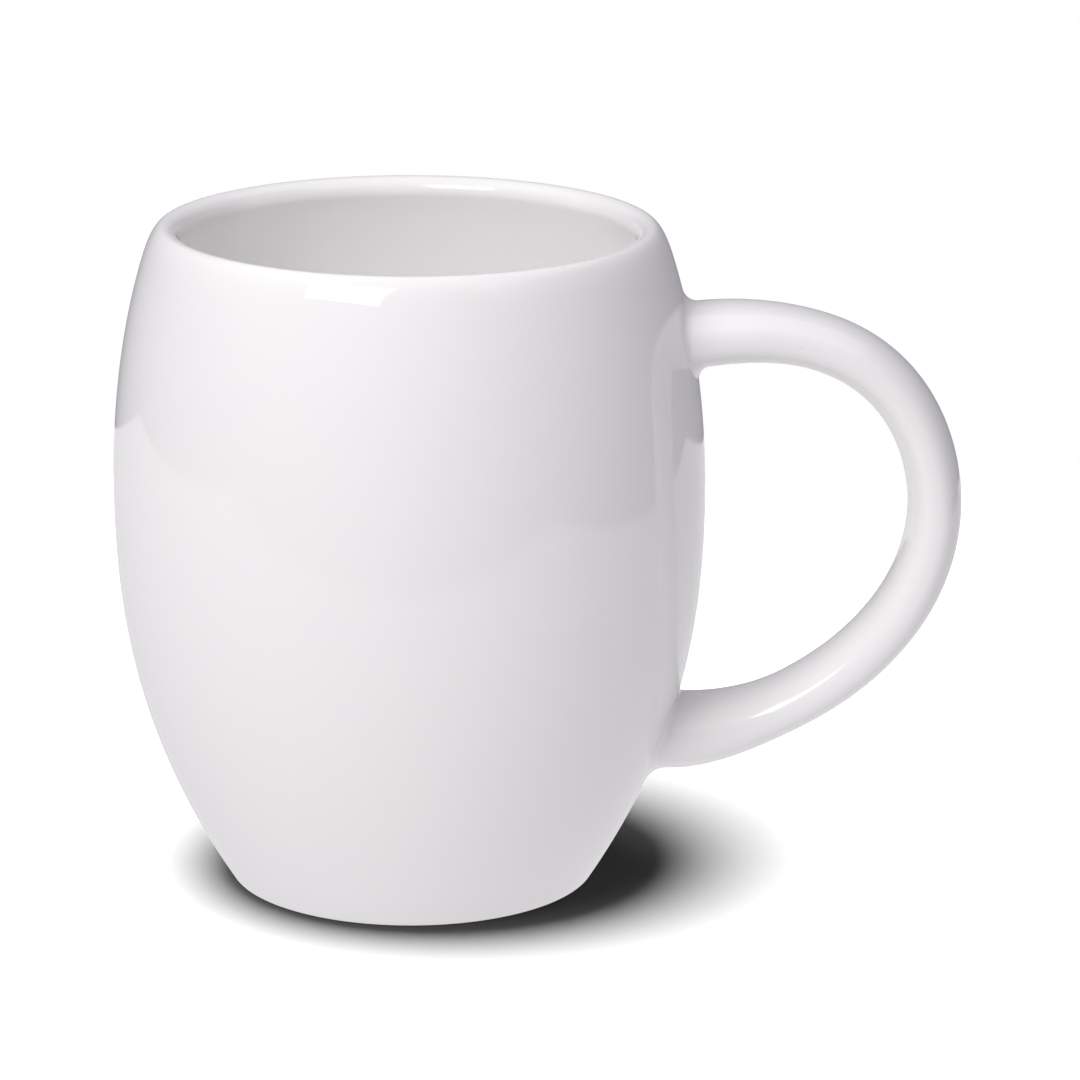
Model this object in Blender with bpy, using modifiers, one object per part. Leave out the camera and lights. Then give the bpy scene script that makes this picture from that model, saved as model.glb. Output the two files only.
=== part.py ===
"""A barrel-shaped ceramic mug: a thick cup with a D-shaped handle stuck on with slip.

Metres, +Z up. The mug stands on z = 0 with its handle towards +X. The origin lies on the
standing plane, in the middle of the whole outline, so the cup's own axis is a little to -X.
Profiles are worked out as (radius, height) pairs measured from the cup's own axis.
"""

import math

import bmesh
import bpy
import numpy as np

MM = 0.001
OBJECT_NAME = "ceramic_mug"

# Cup: outer side
HEIGHT = 110.0 * MM
FOOT_RADIUS = 30.5 * MM
FOOT_EDGE_RADIUS = 0.8 * MM
FOOT_FLARE = math.radians(32.5)
FOOT_PULL = 26.7 * MM
BELLY_RADIUS = 48.6 * MM
BELLY_HEIGHT = 65.2 * MM
BELLY_PULL_DOWN = 22.1 * MM
BELLY_PULL_UP = 16.0 * MM
NECK_RADIUS = 41.85 * MM
NECK_LEAN = math.radians(19.9)
NECK_PULL = 13.0 * MM

# Cup: inside and underneath
WALL = 4.8 * MM
LIP_RADIUS = WALL / 2
FLOOR_HEIGHT = 6.0 * MM
FLOOR_FLAT_RADIUS = 16.0 * MM
INNER_CORNER_TOP = 18.0 * MM
INNER_CORNER_PULL = 9.0 * MM
FOOT_RING_INNER_RADIUS = 24.4 * MM
RECESS_RADIUS = 22.8 * MM
RECESS_DEPTH = 2.0 * MM

# Handle: centreline in the XZ plane, measured from the cup's own axis
UPPER_ROOT = (44.0 * MM, 91.6 * MM)
UPPER_ROOT_RISE = math.radians(10.2)
UPPER_ROOT_PULL = 37.7 * MM
GRIP_REACH = 86.2 * MM
GRIP_HEIGHT = 64.2 * MM
GRIP_PULL_UP = 8.8 * MM
GRIP_PULL_DOWN = 27.0 * MM
LOWER_ROOT = (40.0 * MM, 25.0 * MM)
LOWER_ROOT_RISE = math.radians(-12.5)
LOWER_ROOT_PULL = 14.2 * MM
ROOT_OVERRUN = 4.0 * MM

# Handle: oval section, and how much larger it grows towards each root
GRIP_THICKNESS = 8.85 * MM
GRIP_WIDTH = 16.6 * MM
SECTION_SQUARENESS = 2.3
UPPER_FLARE = 0.14
LOWER_FLARE = 0.30
FLARE_LENGTH = 24.0 * MM

# Slip joints: a thin pad under each end of the handle, with a fillet round the root
CLEARANCE = 0.3 * MM
PAD = 0.8 * MM
FILLET_RADIUS = 3.0 * MM
FILLET_EDGE = 0.45 * MM
FILLET_SUNK = 1.0 * MM
SLIDE_FARTHEST_IN = -12.0 * MM
SLIDE_FARTHEST_OUT = 16.0 * MM
SLIDE_HALVINGS = 30

# How finely round shapes are divided
CUP_SEGMENTS = 72
SIDE_STEPS = 11
LIP_STEPS = 8
CORNER_STEPS = 6
FOOT_EDGE_STEPS = 3
HANDLE_STEPS = 20
SECTION_POINTS = 28
COLLAR_POINTS = 40
COLLAR_RINGS = 6
MERGE_DISTANCE = 0.01 * MM
WELD_DISTANCE = 0.001 * MM
SHARP_ANGLE = math.radians(40)

HANDLE_OUTER_REACH = GRIP_REACH + GRIP_THICKNESS / 2
AXIS_X = (BELLY_RADIUS - HANDLE_OUTER_REACH) / 2

GLAZE_COLOUR = (0.86, 0.85, 0.86, 1.0)
SLIP_COLOUR = (0.80, 0.79, 0.79, 1.0)
GLAZE_ROUGHNESS = 0.08
SLIP_ROUGHNESS = 0.12


def clear_scene():
    """Remove every object that the scene holds."""
    for obj in list(bpy.data.objects):
        bpy.data.objects.remove(obj, do_unlink=True)


def new_collection(name):
    """Make a collection in the scene."""
    collection = bpy.data.collections.new(name)
    bpy.context.scene.collection.children.link(collection)
    return collection


def glazed_material(name, colour, roughness):
    """Make a plain glossy ceramic material."""
    material = bpy.data.materials.new(name)
    material.use_nodes = True
    shader = material.node_tree.nodes["Principled BSDF"]
    shader.inputs["Base Color"].default_value = colour
    shader.inputs["Roughness"].default_value = roughness
    shader.inputs["Metallic"].default_value = 0.0
    material.diffuse_color = colour
    return material


def direction(rise):
    """Unit vector away from the cup's axis, tipped up by rise."""
    return np.array([math.cos(rise), math.sin(rise)])


def bezier(start, start_pull, end_pull, end, steps):
    """Points of the cubic curve that leaves start towards start_pull and reaches end from end_pull."""
    t = np.linspace(0.0, 1.0, steps + 1)[:, None]
    start, start_pull, end_pull, end = (np.array(p, float) for p in (start, start_pull, end_pull, end))
    rest = 1.0 - t
    return rest**3 * start + 3 * rest**2 * t * start_pull + 3 * rest * t**2 * end_pull + t**3 * end


def arc(centre, radius, from_angle, to_angle, steps):
    """Points of a circular arc; angle 0 points away from the axis and 90 degrees points up."""
    angle = np.linspace(from_angle, to_angle, steps + 1)
    return np.array(centre) + radius * np.stack([np.cos(angle), np.sin(angle)], axis=-1)


def normals_of(points):
    """Unit normals of a path that climbs the cup's side, pointing away from the axis."""
    tangent = np.gradient(points, axis=0)
    tangent /= np.linalg.norm(tangent, axis=1)[:, None]
    return np.stack([tangent[:, 1], -tangent[:, 0]], axis=-1)


def lip_centre():
    """Centre of the lip's half circle, which meets the outer side where the neck ends."""
    return (NECK_RADIUS - LIP_RADIUS * math.cos(NECK_LEAN), HEIGHT - LIP_RADIUS)


def foot_edge_centre():
    """Centre of the rounded edge between the cup's side and the ring that it stands on."""
    return np.array([FOOT_RADIUS - FOOT_EDGE_RADIUS, FOOT_EDGE_RADIUS])


def outer_side(offset=0.0):
    """The cup's side from the foot up to the lip, moved outwards by offset along its normals."""
    foot = foot_edge_centre() + FOOT_EDGE_RADIUS * direction(-FOOT_FLARE)
    belly = np.array([BELLY_RADIUS, BELLY_HEIGHT])
    neck = np.array([NECK_RADIUS, lip_centre()[1] + LIP_RADIUS * math.sin(NECK_LEAN)])
    flare = FOOT_PULL * np.array([math.sin(FOOT_FLARE), math.cos(FOOT_FLARE)])
    lean = NECK_PULL * np.array([math.sin(NECK_LEAN), -math.cos(NECK_LEAN)])
    lower = bezier(foot, foot + flare, belly - [0.0, BELLY_PULL_DOWN], belly, SIDE_STEPS)
    upper = bezier(belly, belly + [0.0, BELLY_PULL_UP], neck + lean, neck, SIDE_STEPS)
    side = np.vstack([lower, upper[1:]])
    normals = normals_of(side)
    normals[0] = [math.cos(FOOT_FLARE), -math.sin(FOOT_FLARE)]
    normals[-1] = [math.cos(NECK_LEAN), math.sin(NECK_LEAN)]
    return side + offset * normals


def cup_profile():
    """The cup's whole section, from the middle of the inner floor, over the lip, to the underside."""
    inner_wall = outer_side(-WALL)
    inner_wall = inner_wall[inner_wall[:, 1] > INNER_CORNER_TOP]
    climb = inner_wall[1] - inner_wall[0]
    climb *= INNER_CORNER_PULL / np.linalg.norm(climb)
    floor_edge = np.array([FLOOR_FLAT_RADIUS, FLOOR_HEIGHT])
    corner_start = floor_edge + [INNER_CORNER_PULL, 0.0]
    corner = bezier(floor_edge, corner_start, inner_wall[0] - climb, inner_wall[0], CORNER_STEPS)
    lip = arc(lip_centre(), LIP_RADIUS, NECK_LEAN + math.pi, NECK_LEAN, LIP_STEPS)
    side_down = outer_side()[::-1]
    edge = arc(foot_edge_centre(), FOOT_EDGE_RADIUS, -FOOT_FLARE, -math.pi / 2, FOOT_EDGE_STEPS)
    underside = [(FOOT_RING_INNER_RADIUS, 0.0), (RECESS_RADIUS, RECESS_DEPTH), (0.0, RECESS_DEPTH)]
    return np.vstack(
        [(0.0, FLOOR_HEIGHT), corner, inner_wall[1:-1], lip[:-1], side_down, edge[1:], underside]
    )


def solid_profile(offset):
    """A solid body with the cup's outer side moved outwards by offset, for cutting."""
    side_down = outer_side(offset)[::-1]
    return np.vstack([(0.0, side_down[0, 1]), side_down, (0.0, side_down[-1, 1])])


def link(obj, collection, material=None):
    """Put an object in its collection and give it its material."""
    collection.objects.link(obj)
    if material:
        obj.data.materials.append(material)
    return obj


def smooth(mesh):
    """Shade a mesh smooth, apart from its sharp edges."""
    mesh.shade_smooth()
    mesh.set_sharp_from_angle(angle=SHARP_ANGLE)


def turned(name, profile, collection, material=None):
    """Turn a profile round the cup's axis with a Screw modifier."""
    mesh = bpy.data.meshes.new(name)
    points = [(radius, 0.0, height) for radius, height in profile]
    edges = [(i, i + 1) for i in range(len(points) - 1)]
    mesh.from_pydata(points, edges, [])
    obj = link(bpy.data.objects.new(name, mesh), collection, material)
    obj.location.x = AXIS_X
    screw = obj.modifiers.new("turn", "SCREW")
    screw.axis = "Z"
    screw.angle = math.tau
    screw.steps = CUP_SEGMENTS
    screw.render_steps = CUP_SEGMENTS
    screw.use_merge_vertices = True
    screw.merge_threshold = MERGE_DISTANCE
    screw.use_smooth_shade = True
    return obj


def oval(thickness, width, count):
    """Corners of the handle's oval section: a circle's corners pushed out a little, then stretched."""
    angle = np.linspace(0.0, math.tau, count, endpoint=False)
    power = 2.0 / SECTION_SQUARENESS
    across = np.sign(np.cos(angle)) * np.abs(np.cos(angle)) ** power
    along = np.sign(np.sin(angle)) * np.abs(np.sin(angle)) ** power
    return np.stack([across * thickness / 2, along * width / 2], axis=-1)


def handle_path():
    """The handle's centreline from upper root to lower root, overrunning both into the wall."""
    upper, lower = np.array(UPPER_ROOT), np.array(LOWER_ROOT)
    out_upper, out_lower = direction(UPPER_ROOT_RISE), direction(LOWER_ROOT_RISE)
    grip = np.array([GRIP_REACH, GRIP_HEIGHT])
    first = bezier(
        upper, upper + UPPER_ROOT_PULL * out_upper, grip + [0.0, GRIP_PULL_UP], grip, HANDLE_STEPS
    )
    second = bezier(
        grip, grip - [0.0, GRIP_PULL_DOWN], lower + LOWER_ROOT_PULL * out_lower, lower, HANDLE_STEPS
    )
    start, end = upper - ROOT_OVERRUN * out_upper, lower - ROOT_OVERRUN * out_lower
    return np.vstack([start, first, second[1:], end])


def section_scale(path):
    """How much larger than the grip's the section is at each point: it swells smoothly at the roots."""
    steps = np.linalg.norm(np.diff(path, axis=0), axis=1)
    travelled = np.concatenate([[0.0], np.cumsum(steps)])
    left = travelled[-1] - travelled

    def swell(distance):
        near = np.clip(1.0 - (distance - ROOT_OVERRUN) / FLARE_LENGTH, 0.0, 1.0)
        return near * near * (3.0 - 2.0 * near)

    return 1.0 + UPPER_FLARE * swell(travelled) + LOWER_FLARE * swell(left)


def oval_curve(name, margin, collection):
    """The oval as a closed curve, which the handle's curve carries along as its bevel."""
    curve = bpy.data.curves.new(name, "CURVE")
    curve.dimensions = "2D"
    curve.fill_mode = "NONE"
    spline = curve.splines.new("POLY")
    corners = oval(GRIP_THICKNESS + 2 * margin, GRIP_WIDTH + 2 * margin, SECTION_POINTS)
    spline.points.add(len(corners) - 1)
    for point, (in_plane, across) in zip(spline.points, corners):
        point.co = (in_plane, across, 0.0, 1.0)
    spline.use_cyclic_u = True
    obj = link(bpy.data.objects.new(name, curve), collection)
    obj.hide_render = True
    obj.display_type = "WIRE"
    return obj


def swept_handle(name, margin, collection, cutters, material=None):
    """Carry the oval, grown by margin, along the centreline and return the capped mesh object.

    The curve is drawn flat, so that no stretch of it runs along the up axis that steadies the
    oval, and the object is then stood up into the XZ plane.
    """
    curve = bpy.data.curves.new(name, "CURVE")
    curve.dimensions = "3D"
    curve.twist_mode = "Z_UP"
    curve.bevel_mode = "OBJECT"
    curve.bevel_object = oval_curve(name + "_oval", margin, cutters)
    curve.use_fill_caps = True
    path = handle_path()
    spline = curve.splines.new("POLY")
    spline.points.add(len(path) - 1)
    for point, (radius, height), scale in zip(spline.points, path, section_scale(path)):
        point.co = (radius, height, 0.0, 1.0)
        point.radius = scale
    rail = link(bpy.data.objects.new(name + "_rail", curve), cutters)
    rail.location.x = AXIS_X
    rail.rotation_euler.x = math.radians(90)
    bpy.context.view_layer.update()
    evaluated = rail.evaluated_get(bpy.context.evaluated_depsgraph_get())
    mesh = bpy.data.meshes.new_from_object(evaluated)
    mesh.name = name
    weld_and_face_out(mesh)
    obj = link(bpy.data.objects.new(name, mesh), collection, material)
    obj.matrix_world = rail.matrix_world.copy()
    bpy.data.objects.remove(rail)
    return obj


def weld_and_face_out(mesh):
    """Join a mesh's loose caps to its sides and turn all its faces outwards."""
    shape = bmesh.new()
    shape.from_mesh(mesh)
    bmesh.ops.remove_doubles(shape, verts=shape.verts, dist=WELD_DISTANCE)
    bmesh.ops.recalc_face_normals(shape, faces=shape.faces)
    shape.to_mesh(mesh)
    shape.free()


def cut(obj, cutter):
    """Take cutter away from obj with an exact Boolean."""
    boolean = obj.modifiers.new("cut_by_" + cutter.name, "BOOLEAN")
    boolean.operation = "DIFFERENCE"
    boolean.solver = "EXACT"
    boolean.object = cutter


def as_cutter(obj):
    """Show an object as a wire that is not rendered."""
    obj.hide_render = True
    obj.display_type = "WIRE"
    return obj


def height_above_wall(points):
    """How far points stand off the cup's outer side, measured square to it."""
    side = outer_side()
    normals = normals_of(side)
    radius = np.hypot(points[..., 0], points[..., 1])
    side_radius = np.interp(points[..., 2], side[:, 1], side[:, 0])
    squareness = np.interp(points[..., 2], side[:, 1], normals[:, 0])
    return (radius - side_radius) * squareness


def reach_height(starts, away, height):
    """Slide each start along away until it stands at the wanted height above the wall, by halving."""
    low = np.full(starts.shape[:-1], SLIDE_FARTHEST_IN)
    high = np.full(starts.shape[:-1], SLIDE_FARTHEST_OUT)
    for _ in range(SLIDE_HALVINGS):
        middle = (low + high) / 2
        too_low = height_above_wall(starts + middle[..., None] * away) < height
        low = np.where(too_low, middle, low)
        high = np.where(too_low, high, middle)
    return starts + low[..., None] * away


def fillet_collar(name, root, rise, flare, collection, material):
    """Loft a collar that hugs the handle's root at its top and spreads in a fillet onto the wall."""
    away_2d = direction(rise)
    away = np.array([away_2d[0], 0.0, away_2d[1]])
    upwards = np.array([-away_2d[1], 0.0, away_2d[0]])
    sideways = np.array([0.0, 1.0, 0.0])
    heights = np.linspace(0.0, FILLET_RADIUS, COLLAR_RINGS)
    spread = FILLET_RADIUS - np.sqrt(FILLET_RADIUS**2 - (FILLET_RADIUS - heights) ** 2)
    heights = np.concatenate([[-FILLET_SUNK], heights])
    spread = np.concatenate([spread[:1], spread]) + CLEARANCE + FILLET_EDGE
    rings = []
    for height, grown in zip(heights, spread):
        thickness = GRIP_THICKNESS * (1 + flare) + 2 * grown
        width = GRIP_WIDTH * (1 + flare) + 2 * grown
        corners = oval(thickness, width, COLLAR_POINTS)
        ring = np.array([root[0], 0.0, root[1]]) + corners[:, :1] * upwards + corners[:, 1:] * sideways
        rings.append(reach_height(ring, away, height))
    shape = bmesh.new()
    verts = [[shape.verts.new(point) for point in ring] for ring in rings]
    middles = [shape.verts.new(rings[end].mean(axis=0)) for end in (0, -1)]
    for lower_ring, upper_ring in zip(verts, verts[1:]):
        for i in range(COLLAR_POINTS):
            j = (i + 1) % COLLAR_POINTS
            shape.faces.new((lower_ring[i], lower_ring[j], upper_ring[j], upper_ring[i]))
    for ring, middle in zip((verts[0], verts[-1]), middles):
        for i in range(COLLAR_POINTS):
            shape.faces.new((ring[i], ring[(i + 1) % COLLAR_POINTS], middle))
    bmesh.ops.recalc_face_normals(shape, faces=shape.faces)
    mesh = bpy.data.meshes.new(name)
    shape.to_mesh(mesh)
    shape.free()
    obj = link(bpy.data.objects.new(name, mesh), collection, material)
    obj.location.x = AXIS_X
    return obj


def build():
    """Model the mug's four pieces."""
    clear_scene()
    parts = new_collection(OBJECT_NAME)
    cutters = new_collection(OBJECT_NAME + "_cutters")

    turned("body", cup_profile(), parts, glazed_material("body_glaze", GLAZE_COLOUR, GLAZE_ROUGHNESS))

    wall_face = as_cutter(turned("wall_face", solid_profile(CLEARANCE), cutters))
    pad_face = as_cutter(turned("pad_face", solid_profile(CLEARANCE + PAD), cutters))
    end_face = as_cutter(turned("end_face", solid_profile(2 * CLEARANCE + PAD), cutters))

    handle_glaze = glazed_material("handle_glaze", GLAZE_COLOUR, GLAZE_ROUGHNESS)
    handle = swept_handle("handle", 0.0, parts, cutters, handle_glaze)
    cut(handle, end_face)
    room_for_handle = as_cutter(swept_handle("room_for_handle", CLEARANCE, cutters, cutters))
    cut(room_for_handle, pad_face)

    joints = {
        "upper_slip_joint": (UPPER_ROOT, UPPER_ROOT_RISE, UPPER_FLARE),
        "lower_slip_joint": (LOWER_ROOT, LOWER_ROOT_RISE, LOWER_FLARE),
    }
    for name, (root, rise, flare) in joints.items():
        slip = glazed_material(name + "_glaze", SLIP_COLOUR, SLIP_ROUGHNESS)
        joint = fillet_collar(name, root, rise, flare, parts, slip)
        cut(joint, wall_face)
        cut(joint, room_for_handle)
        smooth(joint.data)
    smooth(handle.data)


build()
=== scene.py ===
"""A white glazed barrel mug: a jiggered cup with a cast handle luted on, set on a pale table.

Lengths are in metres and +Z is up. The mug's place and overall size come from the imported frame; the
shapes here are the same curves as the solid model's, drawn finely enough for glossy glaze.
"""

import logging
import math
from collections.abc import Callable
from dataclasses import dataclass, field
from enum import Enum

import bpy
import numpy as np
from mathutils import Matrix, Vector


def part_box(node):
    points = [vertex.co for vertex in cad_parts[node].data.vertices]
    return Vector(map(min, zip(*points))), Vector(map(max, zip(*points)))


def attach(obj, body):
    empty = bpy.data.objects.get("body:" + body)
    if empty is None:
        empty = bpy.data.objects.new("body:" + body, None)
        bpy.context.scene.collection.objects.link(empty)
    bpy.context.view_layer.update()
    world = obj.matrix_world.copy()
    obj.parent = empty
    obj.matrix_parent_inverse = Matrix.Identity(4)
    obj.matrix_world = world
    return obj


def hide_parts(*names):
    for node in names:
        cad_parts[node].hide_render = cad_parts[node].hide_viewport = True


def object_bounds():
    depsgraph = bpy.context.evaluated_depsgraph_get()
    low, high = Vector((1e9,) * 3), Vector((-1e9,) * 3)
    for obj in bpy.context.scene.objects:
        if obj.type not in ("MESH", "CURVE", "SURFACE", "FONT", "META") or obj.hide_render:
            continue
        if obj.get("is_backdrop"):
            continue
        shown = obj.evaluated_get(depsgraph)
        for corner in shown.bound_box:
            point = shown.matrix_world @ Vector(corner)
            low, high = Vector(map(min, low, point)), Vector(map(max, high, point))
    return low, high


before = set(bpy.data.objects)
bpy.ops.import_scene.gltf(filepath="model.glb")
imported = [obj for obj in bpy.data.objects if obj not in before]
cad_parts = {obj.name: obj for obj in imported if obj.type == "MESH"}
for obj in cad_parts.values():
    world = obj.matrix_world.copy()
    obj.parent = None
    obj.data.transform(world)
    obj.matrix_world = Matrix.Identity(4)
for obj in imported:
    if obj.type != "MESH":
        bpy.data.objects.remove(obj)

MM = 0.001
LOG = logging.getLogger("barrel_mug")
Array = np.ndarray
Socket = bpy.types.NodeSocket
Colour = tuple[float, float, float]
Corners = tuple[tuple[float, float], tuple[float, float]]
NO_TRIANGLES = np.empty((0, 3), dtype=int)


# ---- curves and grids


def direction(rise: float) -> Array:
    """Return the unit (radius, height) vector that points away from the axis, tipped up by rise radians."""
    return np.array([math.cos(rise), math.sin(rise)])


def bezier(start: Array, start_pull: Array, end_pull: Array, end: Array, steps: int) -> Array:
    """Work out a cubic curve.

    With t from 0 to 1, a point is (1-t)^3 start + 3 (1-t)^2 t start_pull + 3 (1-t) t^2 end_pull + t^3 end.

    Args:
        start: First point.
        start_pull: Point that the curve sets off towards.
        end_pull: Point that the curve arrives from.
        end: Last point.
        steps: Number of stretches between the points returned.

    Returns:
        Array of steps + 1 points.
    """
    t = np.linspace(0.0, 1.0, steps + 1)[:, None]
    rest = 1.0 - t
    return (
        rest**3 * np.asarray(start)
        + 3.0 * rest**2 * t * np.asarray(start_pull)
        + 3.0 * rest * t**2 * np.asarray(end_pull)
        + t**3 * np.asarray(end)
    )


def arc(centre: Array, radius: float, from_angle: float, to_angle: float, steps: int) -> Array:
    """Work out a circular arc as centre + radius (cos a, sin a) for a from one angle to the other.

    Args:
        centre: Middle of the circle.
        radius: Radius of the circle.
        from_angle: Angle of the first point, in radians from the outward direction.
        to_angle: Angle of the last point.
        steps: Number of stretches between the points returned.

    Returns:
        Array of steps + 1 points.
    """
    angle = np.linspace(from_angle, to_angle, steps + 1)
    return np.asarray(centre) + radius * np.stack([np.cos(angle), np.sin(angle)], axis=-1)


def unit(vectors: Array) -> Array:
    """Return vectors scaled to length one along their last axis."""
    return vectors / np.linalg.norm(vectors, axis=-1, keepdims=True)


def smoothstep(low: float, high: float, value: Array) -> Array:
    """Return 0 below low, 1 above high and 3 t^2 - 2 t^3 between them."""
    t = np.clip((value - low) / (high - low), 0.0, 1.0)
    return t * t * (3.0 - 2.0 * t)


def grid_faces(rows: int, columns: int) -> Array:
    """List the quads of a grid whose columns close on themselves.

    Seen with rows going up and columns going right, the quads face the viewer.

    Args:
        rows: Number of rings of vertices.
        columns: Number of vertices in each ring.

    Returns:
        Array of four vertex numbers for each quad.
    """
    row = np.arange(rows - 1)[:, None]
    column = np.arange(columns)[None, :]
    after = (column + 1) % columns
    low, high = row * columns, (row + 1) * columns
    return np.stack([low + column, low + after, high + after, high + column], axis=-1).reshape(-1, 4)


def fan_faces(ring: Array, middle: int, turned: bool) -> Array:
    """List the triangles that close a ring of vertices onto a middle vertex.

    Args:
        ring: Vertex numbers round the ring.
        middle: Number of the middle vertex.
        turned: Whether to wind the triangles the other way.

    Returns:
        Array of three vertex numbers for each triangle.
    """
    after = np.roll(ring, -1)
    pair = [after, ring] if turned else [ring, after]
    return np.stack([*pair, np.full_like(ring, middle)], axis=-1)


def mesh_object(name: str, points: Array, quads: Array, triangles: Array) -> bpy.types.Object:
    """Make a smooth mesh object at the origin from whole arrays.

    Args:
        name: Name of the object and its mesh.
        points: Vertex positions, three to a row.
        quads: Four-cornered faces.
        triangles: Three-cornered faces, which may be empty.

    Returns:
        The new object, linked into the scene.
    """
    mesh = bpy.data.meshes.new(name)
    corners = np.concatenate([quads.ravel(), triangles.ravel()]).astype(np.int32)
    sizes = np.concatenate([np.full(len(quads), 4), np.full(len(triangles), 3)]).astype(np.int32)
    starts = np.concatenate([[0], np.cumsum(sizes)[:-1]]).astype(np.int32)
    mesh.vertices.add(len(points))
    mesh.vertices.foreach_set("co", points.astype(np.float32).ravel())
    mesh.loops.add(len(corners))
    mesh.loops.foreach_set("vertex_index", corners)
    mesh.polygons.add(len(sizes))
    mesh.polygons.foreach_set("loop_start", starts)
    mesh.update(calc_edges=True)
    mesh.validate()
    mesh.shade_smooth()
    obj = bpy.data.objects.new(name, mesh)
    bpy.context.scene.collection.objects.link(obj)
    return obj


def capped_rings(name: str, rings: Array, caps: Array) -> bpy.types.Object:
    """Make a closed mesh from rings of vertices, each end fanned onto a vertex of its own.

    Args:
        name: Name of the object.
        rings: Positions, shaped (rows, columns, 3).
        caps: Positions of the two vertices that close the first ring and the last.

    Returns:
        The new object.
    """
    rows, columns = rings.shape[:2]
    count = rows * columns
    first = np.arange(columns)
    last = first + count - columns
    triangles = np.vstack([fan_faces(first, count, False), fan_faces(last, count + 1, True)])
    points = np.vstack([rings.reshape(-1, 3), caps])
    return mesh_object(name, points, grid_faces(rows, columns)[:, ::-1], triangles)


def flat_sheet(name: str, corners: Corners, height: float) -> bpy.types.Object:
    """Lay a flat rectangle that faces up.

    Args:
        name: Name of the object.
        corners: (x, y) of the left front corner and of the right back one.
        height: Height that it lies at.

    Returns:
        The new object.
    """
    (left, front), (right, back) = corners
    outline = [[left, front, height], [right, front, height], [right, back, height], [left, back, height]]
    return mesh_object(name, np.array(outline), np.array([[0, 1, 2, 3]]), NO_TRIANGLES)


def halve(low: Array, high: Array, too_low: Callable[[Array], Array], rounds: int = 40) -> Array:
    """Close in on where a test changes from true to false, by halving.

    Args:
        low: Values at which the test holds.
        high: Values at which it fails.
        too_low: Function of an array of values that returns the test's result for each.
        rounds: Number of halvings.

    Returns:
        The values where the test changes.
    """
    for _ in range(rounds):
        middle = (low + high) / 2.0
        below = too_low(middle)
        low, high = np.where(below, middle, low), np.where(below, high, middle)
    return (low + high) / 2.0


# ---- the clay's shape


@dataclass(frozen=True)
class KilnSet:
    """How the fired mug has settled: it leans a little, and is a hair out of round."""

    axis_x: float
    height: float
    lean: float = 0.45 * MM
    out_of_round: float = 0.0012
    slow_waves: float = 0.10 * MM

    def place(self, points: Array) -> Array:
        """Move points from the ideal mug about its own axis to the fired mug in the row frame.

        The foot shifts by lean and the rim by nothing, in proportion to height. Radii swell by
        out_of_round cos(2 a + 0.7) about the axis, and by a slow wave of three lobes that fades to
        nothing at the foot, so the mug still stands flat.

        Args:
            points: Positions about the cup's own axis, shaped (..., 3).

        Returns:
            Positions in the row frame, shaped as given.
        """
        x, y, z = points[..., 0], points[..., 1], points[..., 2]
        radius = np.hypot(x, y)
        angle = np.arctan2(y, x)
        up = np.clip(z / self.height, 0.0, 1.0)
        near_axis = smoothstep(0.0, 20.0 * MM, radius)
        swell = self.out_of_round * np.cos(2.0 * angle + 0.7) * radius
        swell += self.slow_waves * np.sin(3.0 * angle + 4.0 * up + 1.1)
        stretch = 1.0 + near_axis * up * swell / np.maximum(radius, 1.0 * MM)
        lean = self.lean * (1.0 - up)
        return np.stack([x * stretch + lean + self.axis_x, y * stretch, z], axis=-1)


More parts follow.
